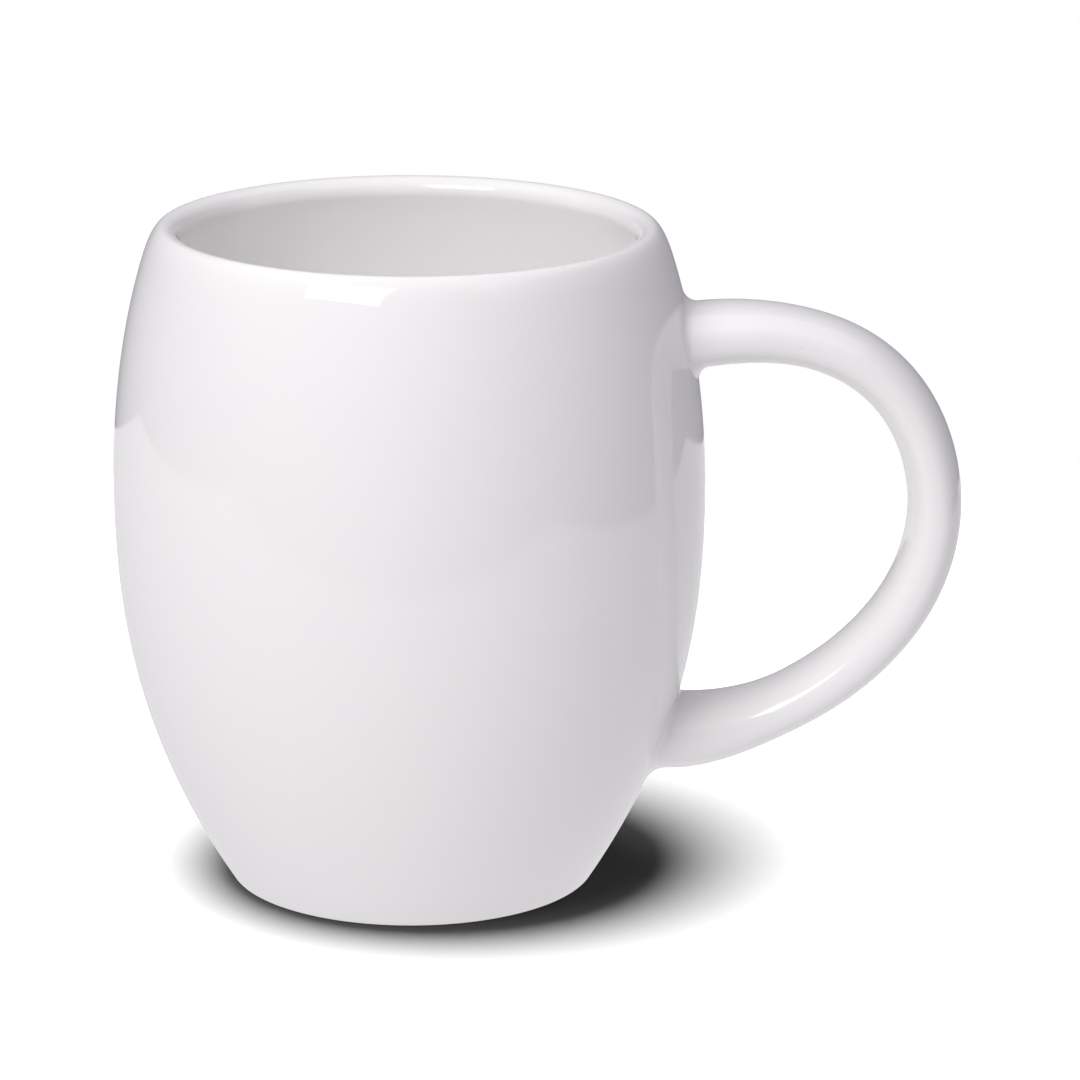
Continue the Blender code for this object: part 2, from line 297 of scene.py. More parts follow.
@dataclass(frozen=True)
class BarrelSide:
    """The cup's side as (radius, height) about its own axis, from the foot's edge up to the neck."""

    height: float
    belly_radius: float
    foot_radius: float = 30.5 * MM
    foot_edge_radius: float = 0.8 * MM
    foot_flare: float = math.radians(32.5)
    foot_pull: float = 26.7 * MM
    belly_height: float = 65.2 * MM
    belly_pull_down: float = 22.1 * MM
    belly_pull_up: float = 16.0 * MM
    neck_radius: float = 41.85 * MM
    neck_lean: float = math.radians(19.9)
    neck_pull: float = 13.0 * MM
    lip_radius: float = 2.4 * MM

    @property
    def lip_centre(self) -> Array:
        """Centre of the lip's half circle."""
        radius = self.neck_radius - self.lip_radius * math.cos(self.neck_lean)
        return np.array([radius, self.height - self.lip_radius])

    @property
    def foot_edge_centre(self) -> Array:
        """Centre of the rounded edge between the side and the ring that the mug stands on."""
        return np.array([self.foot_radius - self.foot_edge_radius, self.foot_edge_radius])

    def points(self, steps: int) -> Array:
        """Work out the side: one cubic curve from foot to belly and one from belly to neck.

        Args:
            steps: Number of stretches in each of the two curves.

        Returns:
            Array of 2 steps + 1 points, bottom first.
        """
        foot = self.foot_edge_centre + self.foot_edge_radius * direction(-self.foot_flare)
        belly = np.array([self.belly_radius, self.belly_height])
        neck = self.lip_centre + self.lip_radius * direction(self.neck_lean)
        flare = self.foot_pull * np.array([math.sin(self.foot_flare), math.cos(self.foot_flare)])
        lean = self.neck_pull * np.array([math.sin(self.neck_lean), -math.cos(self.neck_lean)])
        lower = bezier(foot, foot + flare, belly - [0.0, self.belly_pull_down], belly, steps)
        upper = bezier(belly, belly + [0.0, self.belly_pull_up], neck + lean, neck, steps)
        return np.vstack([lower, upper[1:]])

    def normals(self, points: Array) -> Array:
        """Return unit normals, away from the axis, of a path that climbs the side."""
        tangent = unit(np.gradient(points, axis=0))
        normals = np.stack([tangent[:, 1], -tangent[:, 0]], axis=-1)
        normals[0] = direction(-self.foot_flare)
        normals[-1] = direction(self.neck_lean)
        return normals

    def inside(self, wall: float, steps: int) -> Array:
        """Return the side moved inwards by the wall's thickness."""
        side = self.points(steps)
        return side - wall * self.normals(side)

    def stand_off(self, points: Array) -> tuple[Array, Array]:
        """Measure how far points are from the side, and which way the side faces there.

        The nearest of many points along the side is found; the distance is the offset's part along
        that point's normal, and the offset's part along the side turns the normal a little further.

        Args:
            points: Positions about the cup's own axis, shaped (n, 3).

        Returns:
            Signed distances, positive outside, shaped (n,), and unit normals shaped (n, 3).
        """
        side = self.points(700)
        normals = self.normals(side)
        radius = np.hypot(points[:, 0], points[:, 1])
        flat = np.stack([radius, points[:, 2]], axis=-1)
        nearest = np.argmin(np.sum((flat[:, None, :] - side[None, :, :]) ** 2, axis=-1), axis=1)
        normal = normals[nearest]
        offset = flat - side[nearest]
        distance = np.sum(offset * normal, axis=-1)
        angle = np.arctan2(points[:, 1], points[:, 0])
        facing = np.stack([normal[:, 0] * np.cos(angle), normal[:, 0] * np.sin(angle), normal[:, 1]], axis=-1)
        return distance, facing


@dataclass
class Cup:
    """The cup: outer side, rounded lip, inside, rounded floor, foot ring and the recess inside it."""

    side: BarrelSide
    kiln: KilnSet
    wall: float = 4.8 * MM
    shoulder_drop: float = 6.0 * MM
    crest_pull: float = 1.7 * MM
    shoulder_pull: float = 3.35 * MM
    floor_height: float = 6.0 * MM
    floor_flat_radius: float = 16.0 * MM
    inner_corner_top: float = 18.0 * MM
    inner_corner_pull: float = 9.0 * MM
    foot_ring_inner_radius: float = 24.4 * MM
    recess_radius: float = 22.8 * MM
    recess_depth: float = 2.0 * MM
    columns: int = 320
    side_steps: int = 54
    floor_points: int = 9
    recess_points: int = 8
    corner_steps: int = 16
    lip_steps: int = 14
    shoulder_steps: int = 20
    foot_edge_steps: int = 6
    ledge_steps: int = 10

    def section(self) -> Array:
        """Work out the whole section, from the middle of the inner floor over the lip to the underside.

        Returns:
            Array of (radius, height) points, the first and last on the axis.
        """
        side = self.side
        inner = side.inside(self.wall, self.side_steps)
        inner = inner[inner[:, 1] > self.inner_corner_top]
        climb = self.inner_corner_pull * unit(inner[1] - inner[0])
        floor_edge = np.array([self.floor_flat_radius, self.floor_height])
        floor_pull = floor_edge + [self.inner_corner_pull, 0.0]
        corner = bezier(floor_edge, floor_pull, inner[0] - climb, inner[0], self.corner_steps)
        floor = self.disc(0.0, self.floor_flat_radius, self.floor_height, self.floor_points)
        lip = arc(side.lip_centre, side.lip_radius, side.neck_lean + math.pi, math.pi / 2.0, self.lip_steps)
        down = side.points(self.side_steps)[::-1]
        down = down[down[:, 1] < side.height - self.shoulder_drop]
        fall = down[0] + self.shoulder_pull * unit(down[0] - down[1])
        shoulder = bezier(lip[-1], lip[-1] + [self.crest_pull, 0.0], fall, down[0], self.shoulder_steps)
        foot_turn = (-side.foot_flare, -math.pi / 2)
        edge = arc(side.foot_edge_centre, side.foot_edge_radius, *foot_turn, self.foot_edge_steps)
        ring_in = self.foot_ring_inner_radius
        ring = np.array([[ring_in + 1.0 * MM, 0.0], [ring_in, 0.06 * MM]])
        ledge = bezier(
            ring[-1],
            [self.recess_radius + 0.8 * MM, 0.3 * MM],
            [self.recess_radius + 0.5 * MM, self.recess_depth],
            [self.recess_radius - 1.5 * MM, self.recess_depth],
            self.ledge_steps,
        )
        under = self.disc(self.recess_radius - 1.5 * MM, 0.0, self.recess_depth, self.recess_points)
        outside = [shoulder[:-1], down, edge[1:], ring, ledge[1:], under[1:]]
        return np.vstack([floor, corner[1:], inner[1:-1], lip[:-1], *outside])

    def disc(self, from_radius: float, to_radius: float, height: float, count: int) -> Array:
        """Return count points of a level stretch of the section, from one radius to another."""
        return np.stack([np.linspace(from_radius, to_radius, count), np.full(count, height)], axis=-1)

    def build(self) -> bpy.types.Object:
        """Turn the section about the axis into one closed mesh.

        Returns:
            The cup's object.
        """
        section = self.section()
        rings = section[1:-1]
        angle = np.linspace(0.0, math.tau, self.columns, endpoint=False)
        radius, height = rings[:, :1], rings[:, 1:]
        points = np.stack([radius * np.cos(angle), radius * np.sin(angle), height + 0.0 * angle], axis=-1)
        poles = np.array([[0.0, 0.0, section[0, 1]], [0.0, 0.0, section[-1, 1]]])
        return capped_rings("cup", self.kiln.place(points), self.kiln.place(poles))


class RootEnd(Enum):
    """The two places where the handle meets the cup."""

    UPPER = "upper"
    LOWER = "lower"


@dataclass
class Handle:
    """A D-shaped handle: a plump oval carried along a curve from the upper root to the lower one."""

    side: BarrelSide
    kiln: KilnSet
    upper_root: tuple[float, float] = (44.0 * MM, 91.6 * MM)
    upper_rise: float = math.radians(10.2)
    upper_pull: float = 37.7 * MM
    grip_reach: float = 86.2 * MM
    grip_height: float = 64.2 * MM
    grip_pull_up: float = 8.8 * MM
    grip_pull_down: float = 27.0 * MM
    lower_root: tuple[float, float] = (40.0 * MM, 25.0 * MM)
    lower_rise: float = math.radians(-12.5)
    lower_pull: float = 14.2 * MM
    overrun: float = 9.0 * MM
    half_thickness: float = 4.425 * MM
    half_width: float = 8.3 * MM
    squareness: float = 2.3
    upper_flare: float = 0.14
    lower_flare: float = 0.30
    flare_length: float = 24.0 * MM
    buried: float = 1.6 * MM
    columns: int = 144
    rows: int = 360
    rail: dict[str, Array] = field(init=False)

    def __post_init__(self) -> None:
        """Measure the centreline once: position, tangent, swelling and curvature against length."""
        upper, lower = np.array(self.upper_root), np.array(self.lower_root)
        out_upper, out_lower = direction(self.upper_rise), direction(self.lower_rise)
        grip = np.array([self.grip_reach, self.grip_height])
        first = bezier(upper, upper + self.upper_pull * out_upper, grip + [0.0, self.grip_pull_up], grip, 900)
        low_grip, low_out = grip - [0.0, self.grip_pull_down], lower + self.lower_pull * out_lower
        second = bezier(grip, low_grip, low_out, lower, 900)
        fine = np.linspace(1.0, 0.0, 80, endpoint=False)[:, None] * self.overrun
        path = np.vstack([upper - fine * out_upper, first, second[1:], (lower - fine * out_lower)[::-1]])
        length = np.concatenate([[0.0], np.cumsum(np.linalg.norm(np.diff(path, axis=0), axis=1))])
        even = np.linspace(0.0, length[-1], 3000)
        path = np.stack([np.interp(even, length, path[:, 0]), np.interp(even, length, path[:, 1])], axis=-1)
        tangent = unit(np.gradient(path, even, axis=0))
        from_upper = even - self.overrun
        from_lower = even[-1] - self.overrun - even
        swell = 1.0 + self.upper_flare * (1.0 - smoothstep(0.0, self.flare_length, from_upper))
        swell += self.lower_flare * (1.0 - smoothstep(0.0, self.flare_length, from_lower))
        turn = np.gradient(np.unwrap(np.arctan2(tangent[:, 1], tangent[:, 0])), even)
        self.rail = {
            "along": even,
            "x": path[:, 0],
            "z": path[:, 1],
            "tx": tangent[:, 0],
            "tz": tangent[:, 1],
            "swell": swell,
            "slope": np.gradient(swell, even),
            "turn": turn,
        }

    def surface(self, along: Array, around: Array) -> tuple[Array, Array]:
        """Work out the handle's surface and which way it faces.

        The section is a circle pushed out towards a square and stretched: with w = (|cos a|^p +
        |sin a|^p)^(1/p), a point is at half_thickness cos(a) / w outwards in the handle's plane and
        half_width sin(a) / w across it, both times the swelling. The normal is the gradient of
        |u / half_thickness|^p + |v / half_width|^p, less its part along the handle's own slope.

        Args:
            along: Distance along the centreline, shaped (n,).
            around: Angle round the section from the side away from the finger gap, shaped (n,).

        Returns:
            Positions about the cup's own axis, and unit normals, both shaped (n, 3).
        """
        at = {key: np.interp(along, self.rail["along"], self.rail[key]) for key in self.rail}
        power = self.squareness
        cosine, sine = np.cos(around), np.sin(around)
        reach = (np.abs(cosine) ** power + np.abs(sine) ** power) ** (1.0 / power)
        out, across = cosine / reach, sine / reach
        tangent = unit(np.stack([at["tx"], np.zeros_like(along), at["tz"]], axis=-1))
        outward = np.stack([-tangent[:, 2], np.zeros_like(along), tangent[:, 0]], axis=-1)
        sideways = np.array([0.0, 1.0, 0.0])
        u = self.half_thickness * at["swell"] * out
        v = self.half_width * at["swell"] * across
        middle = np.stack([at["x"], np.zeros_like(along), at["z"]], axis=-1)
        points = middle + u[:, None] * outward + v[:, None] * sideways
        face_u = np.sign(out) * np.abs(out) ** (power - 1.0) / self.half_thickness
        face_v = np.sign(across) * np.abs(across) ** (power - 1.0) / self.half_width
        growth = self.half_thickness * out * face_u + self.half_width * across * face_v
        stretch = 1.0 - at["turn"] * u
        lean = at["slope"] * growth / stretch
        normals = face_u[:, None] * outward + face_v[:, None] * sideways - lean[:, None] * tangent
        return points, unit(normals)

    def search_span(self, end: RootEnd, around: Array) -> tuple[Array, Array]:
        """Return, for each angle, the centreline's own end at a root and its middle, to search between."""
        total = self.rail["along"][-1]
        near = np.full_like(around, 0.0 if end is RootEnd.UPPER else total)
        return near, np.full_like(around, 0.5 * total)

    def reach(self, end: RootEnd, around: Array, depth: float) -> Array:
        """Find how far along each line of the handle stands the wanted height off the cup's side.

        Args:
            end: Which root to look at.
            around: Angles round the section.
            depth: Wanted distance from the cup's side, negative inside the wall.

        Returns:
            Distance along the centreline for each angle.
        """
        near, far = self.search_span(end, around)
        return halve(near, far, lambda at: self.side.stand_off(self.surface(at, around)[0])[0] < depth)

    def build(self) -> bpy.types.Object:
        """Carry the section from one buried end to the other and close both ends.

        Returns:
            The handle's object.
        """
        around = np.linspace(0.0, math.tau, self.columns, endpoint=False)
        start = self.reach(RootEnd.UPPER, around, -self.buried)
        end = self.reach(RootEnd.LOWER, around, -self.buried)
        share = np.linspace(0.0, 1.0, self.rows)[:, None]
        along = start + share * (end - start)
        angles = np.broadcast_to(around, along.shape)
        points, _ = self.surface(along.ravel(), angles.ravel())
        rings = points.reshape(self.rows, self.columns, 3)
        caps = np.stack([rings[0].mean(axis=0), rings[-1].mean(axis=0)])
        return capped_rings("handle_grip", self.kiln.place(rings), self.kiln.place(caps))


@dataclass
class SlipFillet:
    """The sponged slip round one root of the handle: the path of a ball rolled round the corner."""

    handle: Handle
    end: RootEnd
    outer_radius: float
    gap_radius: float
    side_radius: float
    sunk: float = 0.7 * MM
    columns: int = 224
    arc_steps: int = 22

    def ball_radius(self, around: Array) -> Array:
        """Return the ball's radius at each angle: side_radius, easing to the others as cos^2 of the angle."""
        cosine = np.cos(around)
        radius = np.full_like(around, self.side_radius)
        radius += (self.outer_radius - self.side_radius) * np.where(cosine > 0.0, cosine, 0.0) ** 2
        radius += (self.gap_radius - self.side_radius) * np.where(cosine < 0.0, cosine, 0.0) ** 2
        return radius

    def build(self) -> bpy.types.Object:
        """Roll the ball round the root and close the surface inside the clay.

        At each angle the ball touches the handle at a point p with normal n, so its centre is
        p + r n, and p is moved along the handle until the centre stands r off the cup's side. The
        fillet is the arc between the two touching points. It is closed through three more
        points inside the clay: below each touching point, and below the corner itself.

        Returns:
            The fillet's object, with exact normals.
        """
        around = np.linspace(0.0, math.tau, self.columns, endpoint=False)
        radius = self.ball_radius(around)
        handle, side = self.handle, self.handle.side

        def centre(at: Array) -> Array:
            """Return the ball's centre when it touches the handle at each distance along it."""
            points, normals = handle.surface(at, around)
            return points + radius[:, None] * normals

        near, far = handle.search_span(self.end, around)
        at = halve(near, far, lambda value: side.stand_off(centre(value))[0] < radius)
        _, from_handle = handle.surface(at, around)
        middle = centre(at)
        _, from_cup = side.stand_off(middle)

        opening = np.arccos(np.clip(np.sum(from_handle * from_cup, axis=-1), -1.0, 1.0))[:, None, None]
        share = np.linspace(0.0, 1.0, self.arc_steps + 1)[None, :, None]
        spread = np.sin((1.0 - share) * opening) * from_handle[:, None, :]
        spread += np.sin(share * opening) * from_cup[:, None, :]
        facing = unit(spread / np.sin(opening))
        touched = middle[:, None, :] - radius[:, None, None] * facing

        below_handle = middle - (radius + self.sunk)[:, None] * from_handle
        below_cup = middle - (radius + self.sunk)[:, None] * from_cup
        both = from_handle + from_cup
        corner = middle - (radius + self.sunk)[:, None] * both / (1.0 + np.cos(opening[:, 0, :]))
        inner = np.stack([below_cup, corner, below_handle], axis=1)
        points = np.concatenate([touched, inner], axis=1)
        normals = np.concatenate([facing, -unit(inner - middle[:, None, :])], axis=1)

        count = points.shape[1]
        rings = np.arange(self.columns)[:, None] * count
        step = np.arange(count)[None, :]
        after_ring = (rings + count) % (self.columns * count)
        after_step = (step + 1) % count
        corners = [rings + step, rings + after_step, after_ring + after_step, after_ring + step]
        quads = np.stack(corners, axis=-1).reshape(-1, 4)
        if self.end is RootEnd.UPPER:
            quads = quads[:, ::-1]
        flat = handle.kiln.place(points.reshape(-1, 3))
        obj = mesh_object(f"{self.end.value}_slip_fillet", flat, quads, NO_TRIANGLES)
        obj.data.normals_split_custom_set_from_vertices(normals.reshape(-1, 3).tolist())
        return obj


# ---- glaze and clay


def open_sockets(tree: bpy.types.NodeTree, in_out: str, sockets: dict[str, str]) -> None:
    """Give a node group its named sockets on one side.

    Args:
        tree: The group.
        in_out: INPUT or OUTPUT.
        sockets: For each socket's name, Float or Color.
    """
    for name, kind in sockets.items():
        tree.interface.new_socket(name, in_out=in_out, socket_type=f"NodeSocket{kind}")


@dataclass
class NodeBench:
    """Places nodes in a tree from left to right and wires them up."""

    tree: bpy.types.NodeTree
    placed: int = 0

    def add(self, kind: str, settings: dict | None = None, inputs: dict | None = None) -> bpy.types.Node:
        """Add a node.

        Args:
            kind: Blender's node type, such as ShaderNodeMath.
            settings: Values for the node's own properties.
            inputs: For each input's name or number, a socket to link or a value to set.

        Returns:
            The node.
        """
        node = self.tree.nodes.new(kind)
        node.location = (180.0 * self.placed, -60.0 * (self.placed % 5))
        self.placed += 1
        for key, value in (settings or {}).items():
            setattr(node, key, value)
        for key, value in (inputs or {}).items():
            if isinstance(value, Socket):
                self.tree.links.new(value, node.inputs[key])
            else:
                node.inputs[key].default_value = value
        return node

    def math(self, operation: str, first: Socket | float, second: Socket | float = 0.0) -> Socket:
        """Add a Math node and return its result."""
        return self.add("ShaderNodeMath", {"operation": operation}, {0: first, 1: second}).outputs[0]

    def ramp(self, value: Socket, low: float, high: float, to_low: float, to_high: float) -> Socket:
        """Map a value smoothly from one range to another and return the result."""
        inputs = {"Value": value, "From Min": low, "From Max": high, "To Min": to_low, "To Max": to_high}
        return self.add("ShaderNodeMapRange", {"interpolation_type": "SMOOTHSTEP"}, inputs).outputs["Result"]

    def vector_math(self, operation: str, output: str, inputs: dict[int | str, object]) -> Socket:
        """Add a Vector Math node and return the named output."""
        return self.add("ShaderNodeVectorMath", {"operation": operation}, inputs).outputs[output]

    def noise(self, place: Socket, scale: float, detail: float, roughness: float = 0.5) -> Socket:
        """Add a noise texture and return its value."""
        inputs = {"Vector": place, "Scale": scale, "Detail": detail, "Roughness": roughness}
        return self.add("ShaderNodeTexNoise", {"normalize": True}, inputs).outputs["Fac"]

    def blend(self, share: Socket, first: Socket, second: Socket | tuple[float, ...]) -> Socket:
        """Mix two colours and return the result."""
        node = self.add("ShaderNodeMix", {"data_type": "RGBA"}, {"Factor": share, 6: first, 7: second})
        return node.outputs[2]


@dataclass(frozen=True)
class Spots:
    """Rare round spots, one to a cell that is picked by a channel of the cell's random colour.

    scale is in cells per metre, radius is a share of a cell, and rarity is the share of cells that
    hold no spot.
    """

    channel: str
    scale: float
    radius: float
    rarity: float

    def add_to(self, bench: NodeBench, place: Socket) -> Socket:
        """Add the spots' nodes.

        Args:
            bench: Bench of the group.
            place: Position that the cells are laid out in.

        Returns:
            1 in the middle of a spot, falling to 0 at its edge and elsewhere.
        """
        inputs = {"Vector": place, "Scale": self.scale}
        cells = bench.add("ShaderNodeTexVoronoi", {"feature": "F1"}, inputs).outputs
        channels = bench.add("ShaderNodeSeparateColor", inputs={"Color": cells["Color"]}).outputs
        picked = bench.math("GREATER_THAN", channels[self.channel], self.rarity)
        return bench.math("MULTIPLY", bench.ramp(cells["Distance"], 0.02, self.radius, 1.0, 0.0), picked)


@dataclass(frozen=True)
class FiringMarks:
    """What the kiln leaves: clouds, waves, specks, pinholes and the grain of bare clay.

    Scales are in features per metre, and depths are shares of the glaze's wave height.
    """

    cloud_scale: float = 34.0
    cloud_roughness: float = 0.02
    wave_scale: float = 55.0
    ripple_scale: float = 190.0
    ripple_depth: float = 0.16
    specks: Spots = Spots("Red", 210.0, 0.075, 0.965)
    speck_strength: float = 0.16
    speck_colour: Colour = (0.42, 0.37, 0.31)
    pinholes: Spots = Spots("Green", 330.0, 0.11, 0.985)
    pinhole_depth: float = 0.10
    grain_scale: float = 1500.0
    grain_depth: float = 0.35
    grain_colour: Colour = (0.45, 0.41, 0.36)
    clay_roughness: float = 0.72

    def group(self) -> bpy.types.NodeTree:
        """Build the node group that every fired surface of the mug shares.

        The colour drifts a little between thin and full glaze in slow clouds, goes to a darker grey as
        painted shade where the piece's share of painted shade is high, and to bare clay where bare_clay is.
        The height is the slow waviness of poured glaze, a few pinholes, and the grain of bare clay.

        Returns:
            The group.
        """
        tree = bpy.data.node_groups.new("fired_surface", "ShaderNodeTree")
        colours = dict.fromkeys(("Full Glaze", "Thin Glaze", "Painted Shade Colour", "Bare Clay"), "Color")
        amounts = dict.fromkeys(("Painted Shade", "Bare", "Gloss Roughness"), "Float")
        open_sockets(tree, "INPUT", {**colours, **amounts})
        open_sockets(tree, "OUTPUT", {"Color": "Color", "Roughness": "Float", "Height": "Float"})
        bench = NodeBench(tree)
        given = bench.add("NodeGroupInput").outputs
        place = bench.add("ShaderNodeTexCoord").outputs["Object"]

        clouds = bench.ramp(bench.noise(place, self.cloud_scale, 3.0), 0.35, 0.68, 0.0, 1.0)
        colour = bench.blend(clouds, given["Full Glaze"], given["Thin Glaze"])
        # Painted shade: blend towards the darker grey by each vertex's share of painted shade.
        colour = bench.blend(given["Painted Shade"], colour, given["Painted Shade Colour"])
        specks = bench.math("MULTIPLY", self.specks.add_to(bench, place), self.speck_strength)
        colour = bench.blend(specks, colour, (*self.speck_colour, 1.0))
        grain = bench.noise(place, self.grain_scale, 4.0, 0.7)
        grit = bench.ramp(grain, 0.3, 0.7, 0.0, 0.35)
        clay = bench.blend(grit, given["Bare Clay"], (*self.grain_colour, 1.0))
        colour = bench.blend(given["Bare"], colour, clay)

        drift = bench.math("MULTIPLY", clouds, self.cloud_roughness)
        gloss = bench.math("ADD", given["Gloss Roughness"], drift)
        rougher = bench.math("MULTIPLY", bench.math("SUBTRACT", self.clay_roughness, gloss), given["Bare"])

        ripples = bench.math("MULTIPLY", bench.noise(place, self.ripple_scale, 1.0), self.ripple_depth)
        waves = bench.math("ADD", bench.noise(place, self.wave_scale, 1.0), ripples)
        pinholes = bench.math("MULTIPLY", self.pinholes.add_to(bench, place), self.pinhole_depth)
        glaze_height = bench.math("SUBTRACT", waves, pinholes)
        clay_height = bench.math("MULTIPLY", bench.math("MULTIPLY", grain, given["Bare"]), self.grain_depth)

        leave = {
            "Color": colour,
            "Roughness": bench.math("ADD", gloss, rougher),
            "Height": bench.math("ADD", glaze_height, clay_height),
        }
        bench.add("NodeGroupOutput", inputs=leave)
        return tree


@dataclass(frozen=True)
class WhiteGlaze:
    """A glossy white stoneware glaze over off-white clay.

    Colours are linear red, green and blue. wave_height is the depth of the slow unevenness that
    poured glaze is left with.
    """

    name: str
    full: Colour = (0.925, 0.912, 0.909)
    thin: Colour = (0.930, 0.916, 0.910)
    # Painted shade: a slightly darker grey laid on the inner floor's corner, the lower wall by the foot and
    # the handle's joints.
    painted_shade_colour: Colour = (0.900, 0.889, 0.888)
    clay: Colour = (0.70, 0.665, 0.61)
    gloss_roughness: float = 0.045
    wave_height: float = 0.05 * MM
    glass_index: float = 1.52
    marks: FiringMarks = FiringMarks()

    def material(self) -> bpy.types.Material:
        """Make the material: a Principled shader fed by the fired surface group.

        Returns:
            The material.
        """
        material = bpy.data.materials.new(self.name)
        material.use_nodes = True
        tree = material.node_tree
        tree.nodes.clear()
        bench = NodeBench(tree)
        # Each vertex's share of painted shade, which the pieces store by name.
        painted_shade_share = bench.add("ShaderNodeAttribute", {"attribute_name": "painted_shade_amount"}).outputs["Fac"]
        bare = bench.add("ShaderNodeAttribute", {"attribute_name": "bare_clay"}).outputs["Fac"]
        surface = bench.add(
            "ShaderNodeGroup",
            {"node_tree": self.marks.group()},
            {
                "Full Glaze": (*self.full, 1.0),
                "Thin Glaze": (*self.thin, 1.0),
                "Painted Shade Colour": (*self.painted_shade_colour, 1.0),
                "Bare Clay": (*self.clay, 1.0),
                "Painted Shade": painted_shade_share,
                "Bare": bare,
                "Gloss Roughness": self.gloss_roughness,
            },
        ).outputs
        uneven = {"Height": surface["Height"], "Strength": 1.0, "Distance": self.wave_height}
        bump = bench.add("ShaderNodeBump", inputs=uneven)
        shader = bench.add(
            "ShaderNodeBsdfPrincipled",
            inputs={
                "Base Color": surface["Color"],
                "Roughness": surface["Roughness"],
                "Normal": bump.outputs["Normal"],
                "IOR": self.glass_index,
            },
        )
        bench.add("ShaderNodeOutputMaterial", inputs={"Surface": shader.outputs["BSDF"]})
        return material


def plain_material(name: str, values: dict[str, object]) -> bpy.types.Material:
    """Make a material of one Principled shader.

    Args:
        name: Name of the material.
        values: For each of the shader's own inputs that is set, its value.

    Returns:
        The material.
    """
    material = bpy.data.materials.new(name)
    material.use_nodes = True
    shader = material.node_tree.nodes["Principled BSDF"]
    for socket, value in values.items():
        shader.inputs[socket].default_value = value
    return material


def paint(obj: bpy.types.Object, name: str, values: Array) -> None:
    """Store one number for each vertex of a piece under a name that its material reads."""
    layer = obj.data.attributes.new(name, "FLOAT", "POINT")
    layer.data.foreach_set("value", values.astype(np.float32))


def vertex_positions(obj: bpy.types.Object) -> Array:
    """Return a piece's vertex positions, three to a row."""
    flat = np.empty(3 * len(obj.data.vertices), np.float32)
    obj.data.vertices.foreach_get("co", flat)
    return flat.reshape(-1, 3).astype(float)


# ---- the mug, put together


@dataclass
class BarrelMug:
    """The whole mug: cup, handle and the two slip fillets, glazed alike."""

    cup: Cup
    handle: Handle
    upper_fillet: SlipFillet
    lower_fillet: SlipFillet
    glaze: WhiteGlaze

    @classmethod
    def from_frame(cls) -> "BarrelMug":
        """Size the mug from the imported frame's cup node.

        Returns:
            The mug, with nothing built yet.
        """
        low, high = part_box("body")
        side = BarrelSide(height=high[2], belly_radius=(high[1] - low[1]) / 2.0)
        kiln = KilnSet(axis_x=(low[0] + high[0]) / 2.0, height=high[2])
        handle = Handle(side, kiln)
        upper = SlipFillet(
            handle, RootEnd.UPPER, outer_radius=2.8 * MM, gap_radius=2.6 * MM, side_radius=1.3 * MM
        )
        lower = SlipFillet(
            handle, RootEnd.LOWER, outer_radius=4.6 * MM, gap_radius=1.3 * MM, side_radius=1.8 * MM
        )
        return cls(Cup(side, kiln), handle, upper, lower, WhiteGlaze("white_glaze"))

    def build(self) -> list[bpy.types.Object]:
        """Build, glaze and place every piece.

        Returns:
            The pieces.
        """
        material = self.glaze.material()
        cup, grip = self.cup.build(), self.handle.build()
        upper, lower = self.upper_fillet.build(), self.lower_fillet.build()
        self.paint_cup(cup)
        self.paint_handle(grip)
        # Painted shade over the whole of each slip fillet, so the joints read darker.
        for fillet in (upper, lower):
            paint(fillet, "painted_shade_amount", np.full(len(fillet.data.vertices), 1.0))
        stands_for = {
            cup: ("body", "cup"),
            grip: ("handle", "handle"),
            upper: ("upper_slip_joint", "slip_joint"),
            lower: ("lower_slip_joint", "slip_joint"),
        }
        for piece, (node, slot) in stands_for.items():
            piece.data.materials.append(material)
            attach(piece, "root")
            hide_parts(node)
        return list(stands_for)

    def paint_cup(self, cup: bpy.types.Object) -> None:
        """Paint shade low on the cup's outer wall and in the inner floor's corner, and mark the bare foot."""
        points = vertex_positions(cup)
        radius = np.hypot(points[:, 0] - self.cup.kiln.axis_x, points[:, 1])
        height = points[:, 2]
        foot_share, corner_share = 0.8, 0.9
        outside = radius > self.cup.foot_ring_inner_radius + 3.0 * MM
        near_foot = (1.0 - smoothstep(0.8 * MM, 7.0 * MM, height)) * outside
        corner = smoothstep(14.0 * MM, 26.0 * MM, radius) * (1.0 - smoothstep(7.0 * MM, 16.0 * MM, height))
        corner = corner * (height > self.cup.floor_height - 0.1 * MM) * (1.0 - outside)
        # Painted shade: darker low on the outer wall by the foot and in the inner floor's corner.
        paint(cup, "painted_shade_amount", np.clip(foot_share * near_foot + corner_share * corner, 0.0, 1.0))
        bare = (1.0 - smoothstep(0.10 * MM, 0.32 * MM, height)) * (radius > self.cup.recess_radius)
        paint(cup, "bare_clay", bare)

    def paint_handle(self, grip: bpy.types.Object) -> None:
        """Paint shade on the handle within a few millimetres of the cup's side."""
        points = vertex_positions(grip) - [self.handle.kiln.axis_x, 0.0, 0.0]
        stand_off, _ = self.cup.side.stand_off(points)
        # Painted shade, fading out between two and nine millimetres from the cup's side.
        paint(grip, "painted_shade_amount", 1.0 - smoothstep(2.0 * MM, 9.0 * MM, stand_off))


# ---- the studio


def away_from_middle(azimuth: float, elevation: float) -> Vector:
    """Return the unit direction at azimuth from the front towards the handle and elevation, in degrees."""
    turn, rise = math.radians(azimuth), math.radians(elevation)
    return Vector((math.sin(turn) * math.cos(rise), -math.cos(turn) * math.cos(rise), math.sin(rise)))


def turned_to(away: Vector) -> Matrix:
    """Return the turn of a light that hangs in direction away and shines back."""
    return away.to_track_quat("Z", "Y").to_matrix().to_4x4()


